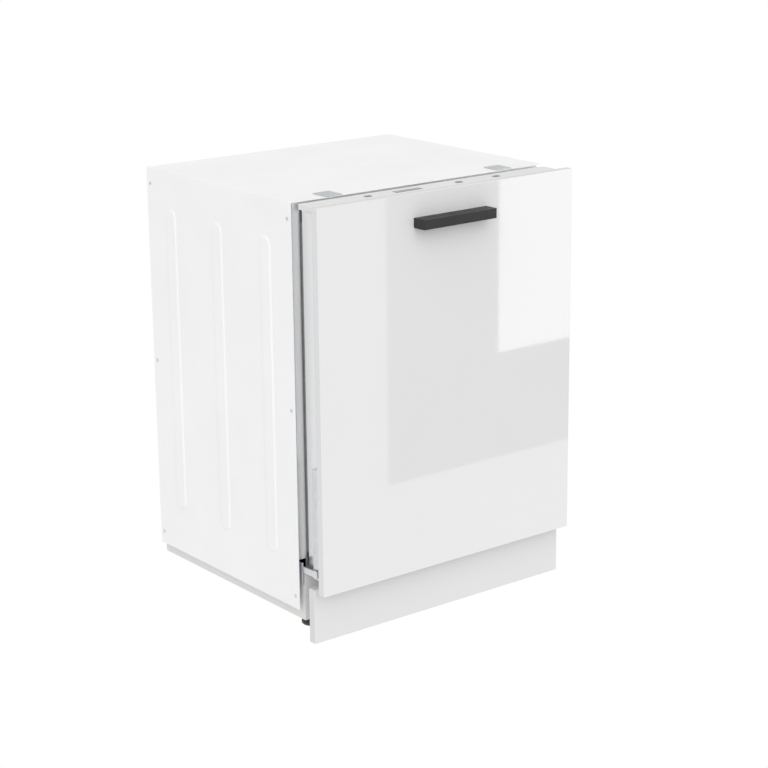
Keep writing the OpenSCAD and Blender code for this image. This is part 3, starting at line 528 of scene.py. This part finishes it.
def door_liner():
    """Stamped stainless liner: sealing border, sunk field, and the dispenser's cut-out."""
    low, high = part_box("door_inner_panel")
    hole_low, hole_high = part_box("detergent_dispenser")
    width, height = high.x - low.x, high.z - low.z
    cx, cz = (low.x + high.x) / 2, (low.z + high.z) / 2
    hole_w, hole_h = hole_high.x - hole_low.x - 0.010, hole_high.z - hole_low.z - 0.010
    hx, hz = (hole_high.x + hole_low.x) / 2, (hole_high.z + hole_low.z) / 2
    y = high.y
    rings = [
        ring_on_door(width, height, 0.004, low.y, cx, cz),
        ring_on_door(width, height, 0.004, y - 0.002, cx, cz),
        ring_on_door(width - 0.004, height - 0.004, 0.004, y, cx, cz),
        ring_on_door(width - 0.050, height - 0.060, 0.03, y, cx, cz),
        ring_on_door(width - 0.058, height - 0.068, 0.028, y - 0.003, cx, cz),
        ring_on_door(width - 0.090, height - 0.100, 0.022, y - 0.003, cx, cz),
        ring_on_door(width - 0.100, height - 0.110, 0.02, y - 0.0065, cx, cz),
        ring_on_door(hole_w + 0.070, hole_h + 0.070, 0.022, y - 0.0065, hx, hz),
        ring_on_door(hole_w + 0.064, hole_h + 0.064, 0.020, y - 0.0060, hx, hz),
        ring_on_door(hole_w + 0.042, hole_h + 0.042, 0.014, y - 0.0010, hx, hz),
        ring_on_door(hole_w + 0.036, hole_h + 0.036, 0.012, y - 0.0004, hx, hz),
        ring_on_door(hole_w, hole_h, 0.008, y - 0.0004, hx, hz),
    ]
    bm = bmesh.new()
    add_loft(bm, rings, cap_start=False, cap_end=False)
    obj = piece("door_liner", bm, "door", "stainless", ["door_inner_panel"])
    biggest = max(obj.data.polygons, key=lambda face: face.area)
    sheet = obj.modifiers.new("sheet", "SOLIDIFY")
    sheet.thickness = SHEET
    sheet.offset = -1 if biggest.normal.y > 0 else 1
    even_shading(obj)


def gasket():
    """Bulb seal swept up, across and down the tub's mouth."""
    low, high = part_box("tub_gasket")
    mid = 3 * MM
    x, top = high.x - mid, high.z - mid
    y = (low.y + high.y) / 2
    route = filleted([(-x, y, low.z), (-x, y, top), (x, y, top), (x, y, low.z)], 0.032, 9)
    half_w, half_d = 2.9 * MM, (high.y - low.y) / 2
    section = [(half_w * math.copysign(abs(math.cos(a)) ** 0.6, math.cos(a)),
                half_d * math.copysign(abs(math.sin(a)) ** 0.7, math.sin(a)))
               for a in angles(20)]
    bm = bmesh.new()
    add_sweep(bm, route, section, up=(1, 0, 0))
    piece("tub_seal", bm, "machine", "seal_rubber", ["tub_gasket"])


def door_outer():
    """Zinc sheet with its screws, and the rubber lip at the door's lower edge."""
    low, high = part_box("door_outer_sheet")
    bm = bmesh.new()
    add_box(bm, low, high)
    for z in (low.z + 0.02, high.z - 0.02):
        for x in (-0.27, 0.27):
            add_screw(bm, (x, low.y, z), (0, -1, 0), 0.0035, 0.0015)
    piece("door_skin", bm, "door", "zinc_steel", ["door_outer_sheet"])
    low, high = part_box("door_seal")
    bm = bmesh.new()
    mid_z = (low.z + high.z) / 2
    section = [(-0.003, 0), (0.003, 0), (0.0024, 0.001), (0.0006, 0.0024), (-0.0006, 0.0024),
               (-0.0024, 0.001)]
    rings = [[(x, low.y + v, mid_z + u) for u, v in section] for x in (low.x, high.x)]
    add_loft(bm, rings)
    piece("door_lip", bm, "door", "seal_rubber", ["door_seal"])


tub_pressings()
door_liner()
gasket()
door_outer()


# ---------------------------------------------------------------- racks

def add_wire(bm, points, radius, corner=0.012, closed=False):
    add_sweep(bm, filleted(points, corner, 4, closed), circle_section(radius, 8), closed)


def rack_wires(bm, low, high, floor_z, rim_z, pitch):
    """Bent wires both ways, a rim round the top, and a base frame."""
    thin, thick = THIN_WIRE, THICK_WIRE
    x0, x1, y0, y1 = low.x + thick, high.x - thick, low.y + thick, high.y - thick
    columns = round((x1 - x0) / pitch)
    rows = round((y1 - y0) / pitch)
    base = floor_z + thick
    for i in range(1, columns):
        x = x0 + (x1 - x0) * i / columns
        add_wire(bm, [(x, y0, rim_z), (x, y0, base), (x, y1, base), (x, y1, rim_z)], thin)
    for i in range(1, rows):
        y = y0 + (y1 - y0) * i / rows
        z = base + 2 * thin
        add_wire(bm, [(x0, y, rim_z), (x0, y, z), (x1, y, z), (x1, y, rim_z)], thin)
    corners = [(x0, y0), (x1, y0), (x1, y1), (x0, y1)]
    for z, radius in ((rim_z, thick), ((rim_z + base) / 2, thin * 1.2)):
        add_wire(bm, [(x, y, z) for x, y in corners], radius, 0.02, True)
    inset = 0.012
    frame_corners = [(x0 + inset, y0 + inset), (x1 - inset, y0 + inset), (x1 - inset, y1 - inset),
                     (x0 + inset, y1 - inset)]
    add_wire(bm, [(x, y, base - thin) for x, y in frame_corners], thick * 0.8, 0.02, True)


def tines(bm, xs, y, z0, z1, lean):
    """A row of upright tines whose tips lean in y."""
    for x in xs:
        add_wire(bm, [(x, y, z0), (x, y, z1 - 0.01), (x, y + lean, z1)], THIN_WIRE, 0.008)


def rack_grip(name, body, y, z):
    """A moulded grip on a rack's front rim."""
    half_l = 0.07
    bm = bmesh.new()
    section = [(u, v * 1.35) for u, v in circle_section(0.005, 14)]
    add_sweep(bm, [(-half_l, y, z), (half_l, y, z)], section, up=(0, 1, 0))
    bevel(piece(name, bm, body, "grey_plastic"), 0.001)


def lower_rack():
    """Lower rack: wires, wheel carriers, bearings of the folding tines, and a front grip."""
    low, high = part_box("lower_rack")
    half_w, rim_z = 0.2485, 0.320
    tine_z, pitch, lean = 0.219, 0.026, 0.004
    bm = bmesh.new()
    rack_wires(bm, Vector((-half_w, low.y, 0)), Vector((half_w, high.y, 0)), 0.2115, rim_z, 0.0305)
    for y in (-0.10, -0.055, 0.125, 0.17):
        tines(bm, [0.02 + pitch * i for i in range(8)], y, tine_z, 0.282, lean)
    for y in (0.085, 0.135, 0.185):
        tines(bm, [-0.21 + pitch * i for i in range(7)], y, tine_z, 0.27, lean)
    piece("lower_rack_wires", bm, "lower_rack", "rack_wire", ["lower_rack"], 60)

    bm = bmesh.new()
    wheel_z, inner_x, outer_x = 0.182, 0.2503, 0.2531
    for y in (-0.154, 0.196):
        for side in (-1, 1):
            outline = [(y - 0.014, 0.2118), (y - 0.010, 0.178), (y, 0.1745), (y + 0.010, 0.178),
                       (y + 0.014, 0.2118)]
            rings = [[(side * x, py, pz) for py, pz in outline] for x in (inner_x, outer_x)]
            add_loft(bm, rings)
            pin = [(0, 0), (0.003, 0), (0.003, 0.0095), (0.005, 0.0097), (0.005, 0.0108),
                   (0.0035, 0.0114), (0, 0.0114)]
            add_lathe(bm, pin, (side * outer_x, y, wheel_z), (side, 0, 0), 24)
    for x in (-0.018, 0.216):
        add_box(bm, (x, 0.035, 0.2196), (x + 0.006, 0.045, 0.231))
    bevel(piece("lower_rack_carriers", bm, "lower_rack", "grey_plastic"), 0.0005)
    rack_grip("lower_rack_grip", "lower_rack", low.y + THICK_WIRE, rim_z)


def upper_rack():
    """Upper rack: wires, runners with end caps, water inlet, arm hub, bearings, and a front grip."""
    low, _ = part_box("upper_rack")
    half_w, depth, rim_z = 0.2405, 0.411, 0.560
    tine_z, pitch, lean = 0.461, 0.028, 0.004
    bm = bmesh.new()
    rack_wires(bm, Vector((-half_w, low.y, 0)), Vector((half_w, low.y + depth, 0)), 0.4525, rim_z, 0.0285)
    for y in (-0.12, -0.04, 0.07, 0.15):
        tines(bm, [pitch * i for i in range(8)], y, tine_z, 0.512, lean)
    for y in (-0.12, -0.02, 0.08, 0.18):
        tines(bm, [-0.205 + pitch * i for i in range(6)], y, tine_z, 0.506, -lean)
    piece("upper_rack_wires", bm, "upper_rack", "rack_wire", ["upper_rack"], 60)

    bm = bmesh.new()
    for side in (-1, 1):
        x0, x1 = sorted((side * 0.249, side * 0.260))
        add_box(bm, (x0, -0.172, 0.506), (x1, 0.236, 0.518))
        x0, x1 = sorted((side * 0.2400, side * 0.2492))
        for y in (-0.152, 0.190):
            add_box(bm, (x0, y, 0.507), (x1, y + 0.026, 0.517))
    bevel(piece("upper_rack_runners", bm, "upper_rack", "rail_steel"), 0.0006)
    bm = bmesh.new()
    for side in (-1, 1):
        x0, x1 = sorted((side * 0.2488, side * 0.2602))
        add_box(bm, (x0, -0.179, 0.5058), (x1, -0.1715, 0.5182))
    bevel(piece("upper_rack_runner_caps", bm, "upper_rack", "grey_plastic"), 0.0015, 3)

    bm = bmesh.new()
    pipe_r, dock_z, centre_y = 0.0065, 0.444, 0.036
    add_sweep(bm, [(0, centre_y - 0.002, dock_z), (0, 0.19, dock_z), (0, 0.2, dock_z), (0, 0.212, dock_z)],
              circle_section(pipe_r, 20))
    hub = [(0, -0.026), (0.0115, -0.026), (0.012, -0.0252), (0.012, -0.0215), (0.011, -0.0206),
           (0.008, -0.0206), (0.008, -0.0075), (0.012, -0.0073), (0.012, -0.001), (0.010, 0.0), (0, 0.0)]
    add_lathe(bm, hub, (0, centre_y, dock_z), (0, 0, 1), 36)
    for y in (-0.1244, 0.0604):
        add_box(bm, (-half_w, y, 0.5626), (-0.2315, y + 0.004, 0.580))
    piece("upper_rack_manifold", bm, "upper_rack", "grey_plastic")
    rack_grip("upper_rack_grip", "upper_rack", low.y + THICK_WIRE, rim_z)


def folding_tines():
    """A row of tines on the rod that they fold about."""
    low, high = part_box("plate_tines")
    y, z = (low.y + high.y) / 2, low.z + 0.0025
    bm = bmesh.new()
    add_wire(bm, [(low.x, y, z), (high.x, y, z)], THICK_WIRE)
    count = 9
    for i in range(count):
        x = low.x + 0.022 + (high.x - low.x - 0.044) * i / (count - 1)
        add_wire(bm, [(x, y, z), (x, y, high.z - 0.012), (x, y + 0.001, high.z)], THIN_WIRE, 0.01)
    piece("folding_tines", bm, "tines", "rack_wire", ["plate_tines"], 60)


def basket():
    """Cutlery basket: moulded rims and floor with a lattice of slats."""
    low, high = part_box("cutlery_basket")
    bm = bmesh.new()
    t = 2 * MM
    add_box(bm, (low.x, low.y, low.z), (high.x, high.y, low.z + t))

    def band(z0, z1):
        for x in (low.x, high.x - t):
            add_box(bm, (x, low.y, z0), (x + t, high.y, z1))
        for y in (low.y, high.y - t):
            add_box(bm, (low.x + t, y, z0), (high.x - t, y + t, z1))

    for z0, z1 in ((low.z + t, low.z + 0.012), (low.z + 0.045, low.z + 0.050), (high.z - 0.012, high.z)):
        band(z0, z1)
    rungs_y = round((high.y - low.y) / 0.011)
    for i in range(rungs_y + 1):
        y = low.y + (high.y - low.y - t) * i / rungs_y
        for x in (low.x, high.x - t):
            add_box(bm, (x + 0.0002, y, low.z + t), (x + t - 0.0002, y + t, high.z - 0.001))
    rungs_x = round((high.x - low.x) / 0.011)
    for i in range(1, rungs_x):
        x = low.x + (high.x - low.x - t) * i / rungs_x
        for y in (low.y, high.y - t):
            add_box(bm, (x, y + 0.0002, low.z + t), (x + t, y + t - 0.0002, high.z - 0.001))
    for i in (1, 2):
        y = low.y + (high.y - low.y) * i / 3
        add_box(bm, (low.x + t, y, low.z + t), (high.x - t, y + 0.0015, high.z - 0.02))
    x = (low.x + high.x) / 2
    grip = filleted([(x, low.y + 0.02, high.z - 0.03), (x, low.y + 0.02, high.z + 0.002),
                     (x, high.y - 0.02, high.z + 0.002), (x, high.y - 0.02, high.z - 0.03)], 0.012, 5)
    add_sweep(bm, grip, [(u * 1.8, v) for u, v in circle_section(0.002, 10)], up=(1, 0, 0))
    piece("cutlery_lattice", bm, "lower_rack", "grey_plastic", ["cutlery_basket"])


lower_rack()
upper_rack()
folding_tines()
basket()


# ---------------------------------------------------------------- water parts

def spray_arm(name, node, body, centre_y, hub_r):
    """Two aerofoil blades with jets, round a hub."""
    low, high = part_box(node)
    reach, mid = high.x, (low.z + high.z) / 2
    half = (high.z - low.z) / 2
    bm = bmesh.new()
    stations = 26
    rings = []
    for i in range(stations + 1):
        t = -1 + 2 * i / stations
        x = t * reach
        taper = 1 - 0.35 * abs(t)
        tip = math.sqrt(max(0.0, 1 - max(0.0, (abs(t) - 0.92) / 0.08) ** 2))
        w = 0.0185 * taper * max(tip, 0.12)
        h = half * 0.82 * (1 - 0.25 * abs(t)) * max(tip, 0.25)
        twist = math.radians(6) * math.copysign(1, t) * min(1, abs(t) * 4)
        ring = []
        for a in angles(20):
            u = w * math.copysign(abs(math.cos(a)) ** 0.75, math.cos(a))
            v = h * math.copysign(abs(math.sin(a)) ** 0.75, math.sin(a))
            ring.append((x, centre_y + u * math.cos(twist) - v * math.sin(twist),
                         mid + u * math.sin(twist) * 0.4 + v))
        rings.append(ring)
    add_loft(bm, rings)
    piece(name, bm, body, SLOT_OF[node], [node])
    bm = bmesh.new()
    outer = hub_r + 0.0138
    bore, corner = hub_r + 0.0002, 0.002
    profile = [(bore, -half), (outer - corner, -half), (outer, -half + corner),
               (outer, half - corner), (outer - corner, half), (bore, half)]
    rings = []
    for r, h in profile:
        rings.append([(r * math.cos(a), centre_y + r * math.sin(a), mid + h)
                      for a in angles(48)])
    add_loft(bm, rings, loop=True)
    nozzle = [(0, -0.002), (0.0042, -0.002), (0.0042, 0.0004), (0.0034, 0.0009), (0.0022, 0.0009),
              (0.0016, -0.0006), (0, -0.0006)]
    jets = 6
    for side in (-1, 1):
        for i in range(jets):
            x = side * (0.045 + i * (reach - 0.07) / jets)
            y = centre_y + side * 0.004 * (-1) ** i
            top = mid + half * 0.82 * (1 - 0.25 * abs(x) / reach)
            add_lathe(bm, nozzle, (x, y, top), (0, 0, 1), 20)
    piece(name + "_hub", bm, body, "light_plastic")


def helix_springs():
    """The door's two balance springs as real coils with straight ends."""
    low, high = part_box("balance_springs")
    wire, coil = 0.0009, 0.0036
    x, z = high.x - 0.0045, (low.z + high.z) / 2
    bm = bmesh.new()
    for side in (-1, 1):
        y0, y1 = low.y + 0.012, high.y - 0.012
        turns = int((y1 - y0) / (wire * 2.3))
        steps = turns * 10
        route = []
        for i in range(steps + 1):
            a = 2 * math.pi * turns * i / steps
            y = y0 + (y1 - y0) * i / steps
            route.append((side * x + coil * math.cos(a), y, z + coil * math.sin(a)))
        route = [(side * x, low.y + 0.001, z), (side * x, low.y + 0.009, z)] + route
        route += [(side * x, high.y - 0.009, z), (side * x, high.y - 0.001, z)]
        add_sweep(bm, route, circle_section(wire, 6))
    piece("balance_spring_coils", bm, "machine", "rail_steel", ["balance_springs"], 80)


def wheels(node, body):
    """Two spoked wheels, one on each side."""
    low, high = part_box(node)
    centre = (low + high) / 2
    r = (high.z - low.z) / 2
    width, bore, hub_r, recess = 0.008, 0.00305, 0.0065, 0.0022
    spoke_r, spoke_half = 0.0092, Vector((0.0034, 0.0028, 0.0006))
    bm = bmesh.new()
    for side in (-1, 1):
        x = side * high.x - (width if side > 0 else 0)
        profile = [(bore, 0.0), (0.006, 0.0), (hub_r, 0.001), (hub_r, recess), (r - 0.004, recess),
                   (r - 0.003, 0.0), (r - 0.0006, 0.0), (r, 0.0008), (r, width - 0.0008),
                   (r - 0.0006, width), (r - 0.003, width), (r - 0.004, width - recess),
                   (hub_r, width - recess), (hub_r, width - 0.001), (0.006, width), (bore, width)]
        rings = [[(x + h, centre.y + q * math.cos(a), centre.z + q * math.sin(a))
                  for a in angles(40)] for q, h in profile]
        add_loft(bm, rings, loop=True)
        for a in angles(6):
            m = Vector((x + width / 2, centre.y + spoke_r * math.cos(a), centre.z + spoke_r * math.sin(a)))
            verts = add_box(bm, m - spoke_half, m + spoke_half)
            bmesh.ops.rotate(bm, verts=verts, cent=m, matrix=Matrix.Rotation(a, 3, "X"))
    piece(node + "_spoked", bm, body, SLOT_OF[node], [node])


def feet():
    """Levelling feet: a disc, a hexagon for the spanner, and a threaded stem."""
    for node in ("foot_front_left", "foot_front_right", "foot_rear"):
        low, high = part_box(node)
        c = (low + high) / 2
        bm = bmesh.new()
        profile = [(0, 0.0), (0.0185, 0.0), (0.02, 0.0015), (0.02, 0.0055), (0.018, 0.007),
                   (0.011, 0.009), (0.0065, 0.0095), (0.0065, 0.0145), (0.0058, 0.0148)]
        thread, root_r, crest_r = 0.00175, 0.0052, 0.00598
        z = 0.016
        while z < high.z - 0.003:
            profile += [(root_r, z), (crest_r, z + thread * 0.5)]
            z += thread
        profile += [(root_r, high.z - 0.001), (0.004, high.z), (0, high.z)]
        add_lathe(bm, profile, (c.x, c.y, 0), (0, 0, 1), 40)
        hexagon = [[(c.x + 0.011 * math.cos(a), c.y + 0.011 * math.sin(a), h)
                    for a in (math.pi / 3 * k for k in range(6))] for h in (0.0085, 0.0142)]
        add_loft(bm, hexagon)
        piece(node + "_threaded", bm, body_of_node(node), SLOT_OF[node], [node])


def fine_filter():
    """Perforated stainless disc round the coarse filter."""
    low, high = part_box("filter_plate")
    c = (low + high) / 2
    inner, outer = 0.032, (high.x - low.x) / 2
    bm = bmesh.new()
    segments, bands = 72, 9
    rows = []
    for j in range(bands + 1):
        r = inner + (outer - inner) * j / bands
        rows.append([bm.verts.new((c.x + r * math.cos(a), c.y + r * math.sin(a), high.z))
                     for a in angles(segments)])
    for j in range(bands):
        for k in range(segments):
            if 0 < j < bands - 1 and (k + j) % 2 == 0:
                continue
            n = (k + 1) % segments
            bm.faces.new((rows[j][k], rows[j + 1][k], rows[j + 1][n], rows[j][n]))
    bmesh.ops.solidify(bm, geom=bm.faces[:], thickness=0.0009)
    piece("filter_disc", bm, "machine", "stainless", ["filter_plate"])


def inlet_thread():
    """Inlet valve: its body, its coil, and the supply hose's thread as rolled ridges."""
    low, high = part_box("inlet_valve")
    x, z = (low.x + high.x) / 2, 0.080
    bm = bmesh.new()
    profile = [(0.0129, 0.0)]
    step, y = 0.0018, 0.0004
    while y < 0.0105:
        profile += [(0.01235, y), (0.01316, y + step / 2)]
        y += step
    profile += [(0.0122, 0.0114), (0.0115, 0.012), (0.0085, 0.012), (0.0085, 0.004), (0, 0.004)]
    add_lathe(bm, profile, (x, high.y - 0.012, z), (0, 1, 0), 64)
    add_box(bm, (low.x, low.y, low.z), (high.x, high.y - 0.0152, high.z))
    add_box(bm, (low.x + 0.006, low.y + 0.01, high.z), (high.x - 0.006, high.y - 0.03, high.z + 0.004))
    flange = [(0, 0), (0.015, 0), (0.015, 0.0035), (0, 0.0035)]
    add_lathe(bm, flange, (x, high.y - 0.0155, z), (0, 1, 0), 40)
    bevel(piece("inlet_valve_threaded", bm, "machine", "light_plastic", ["inlet_valve"]), 0.0003, 2, 60)


ARM_Y = 0.036
spray_arm("lower_spray_blades", "lower_spray_arm", "lower_arm", ARM_Y, 0.009)
spray_arm("upper_spray_blades", "upper_spray_arm", "upper_arm", ARM_Y, 0.008)
helix_springs()
wheels("front_wheels", "front_wheels")
wheels("rear_wheels", "rear_wheels")
feet()
fine_filter()
inlet_thread()


# ---------------------------------------------------------------- camera and studio

def camera():
    """Looks down at the front from its left, at the reference view's angle."""
    yaw, pitch, roll = math.radians(37.91), math.radians(16.02), math.radians(-0.59)
    forward = Vector((math.sin(yaw) * math.cos(pitch), math.cos(yaw) * math.cos(pitch), -math.sin(pitch)))
    right0 = Vector((math.cos(yaw), -math.sin(yaw), 0))
    up0 = right0.cross(forward)
    right = right0 * math.cos(roll) + up0 * math.sin(roll)
    up = up0 * math.cos(roll) - right0 * math.sin(roll)
    data = bpy.data.cameras.new("camera")
    data.sensor_width = 36
    data.lens = 97.3
    cam = bpy.data.objects.new("camera", data)
    bpy.context.scene.collection.objects.link(cam)
    cam.matrix_world = Matrix((right, up, -forward)).transposed().to_4x4()
    cam.location = (-2.355, -3.092, 1.503)
    bpy.context.scene.camera = cam


def soft_sun(name, towards, strength):
    """A sun so wide that it throws only a soft shade, shining from the direction towards."""
    data = bpy.data.lights.new(name, "SUN")
    data.energy = strength
    data.angle = math.radians(75)
    obj = bpy.data.objects.new(name, data)
    bpy.context.scene.collection.objects.link(obj)
    obj.rotation_euler = Vector(towards).to_track_quat("Z", "Y").to_euler()


def glow(name, strength):
    """A white surface that shines by itself."""
    mat = bpy.data.materials.new(name)
    mat.use_nodes = True
    tree = mat.node_tree
    tree.nodes.clear()
    out = tree.nodes.new("ShaderNodeOutputMaterial")
    emit = tree.nodes.new("ShaderNodeEmission")
    emit.inputs["Color"].default_value = (1, 1, 1, 1)
    emit.inputs["Strength"].default_value = strength
    tree.links.new(emit.outputs["Emission"], out.inputs["Surface"])
    return mat


def studio_object(name, bm, material):
    """Makes an object of a bmesh for the studio."""
    mesh = bpy.data.meshes.new(name)
    bm.to_mesh(mesh)
    bm.free()
    obj = bpy.data.objects.new(name, mesh)
    bpy.context.scene.collection.objects.link(obj)
    mesh.materials.append(material)
    return obj


def studio():
    """White floor and surroundings, plain light, and two cards that the gloss mirrors."""
    scene = bpy.context.scene
    scene.view_settings.view_transform = "Standard"
    world = bpy.data.worlds.new("studio")
    world.use_nodes = True
    world.node_tree.nodes["Background"].inputs["Color"].default_value = (1, 1, 1, 1)
    world.node_tree.nodes["Background"].inputs["Strength"].default_value = 0.72
    scene.world = world

    bm = bmesh.new()
    bmesh.ops.create_grid(bm, x_segments=1, y_segments=1, size=30)
    floor = studio_object("floor", bm, glow("floor_white", 1.0))
    floor.location.z = -0.0003
    floor.visible_diffuse = False

    bm = bmesh.new()
    bmesh.ops.create_icosphere(bm, subdivisions=4, radius=26)
    backdrop = studio_object("backdrop", bm, glow("backdrop_white", 1.0))
    backdrop.visible_diffuse = backdrop.visible_glossy = backdrop.visible_shadow = False
    backdrop.visible_transmission = False

    def card(name, x0, z0, z1, y, strength):
        """An upright card before the front, which only the gloss sees."""
        x1 = 3.0
        bm = bmesh.new()
        bm.faces.new([bm.verts.new(c) for c in ((x0, y, z0), (x1, y, z0), (x1, y, z1), (x0, y, z1))])
        obj = studio_object(name, bm, glow(name, strength))
        obj.visible_camera = obj.visible_diffuse = obj.visible_shadow = False
        obj.visible_transmission = False

    wall_y = -0.90
    card("grey_card", 0.346, 0.008, 2.6, wall_y, 0.1)
    card("window_card", 0.66, 0.262, 2.5, wall_y + 0.01, 2.3)
    soft_sun("key_light", (-0.20, -0.30, 0.28), 1.42)


camera()
studio()
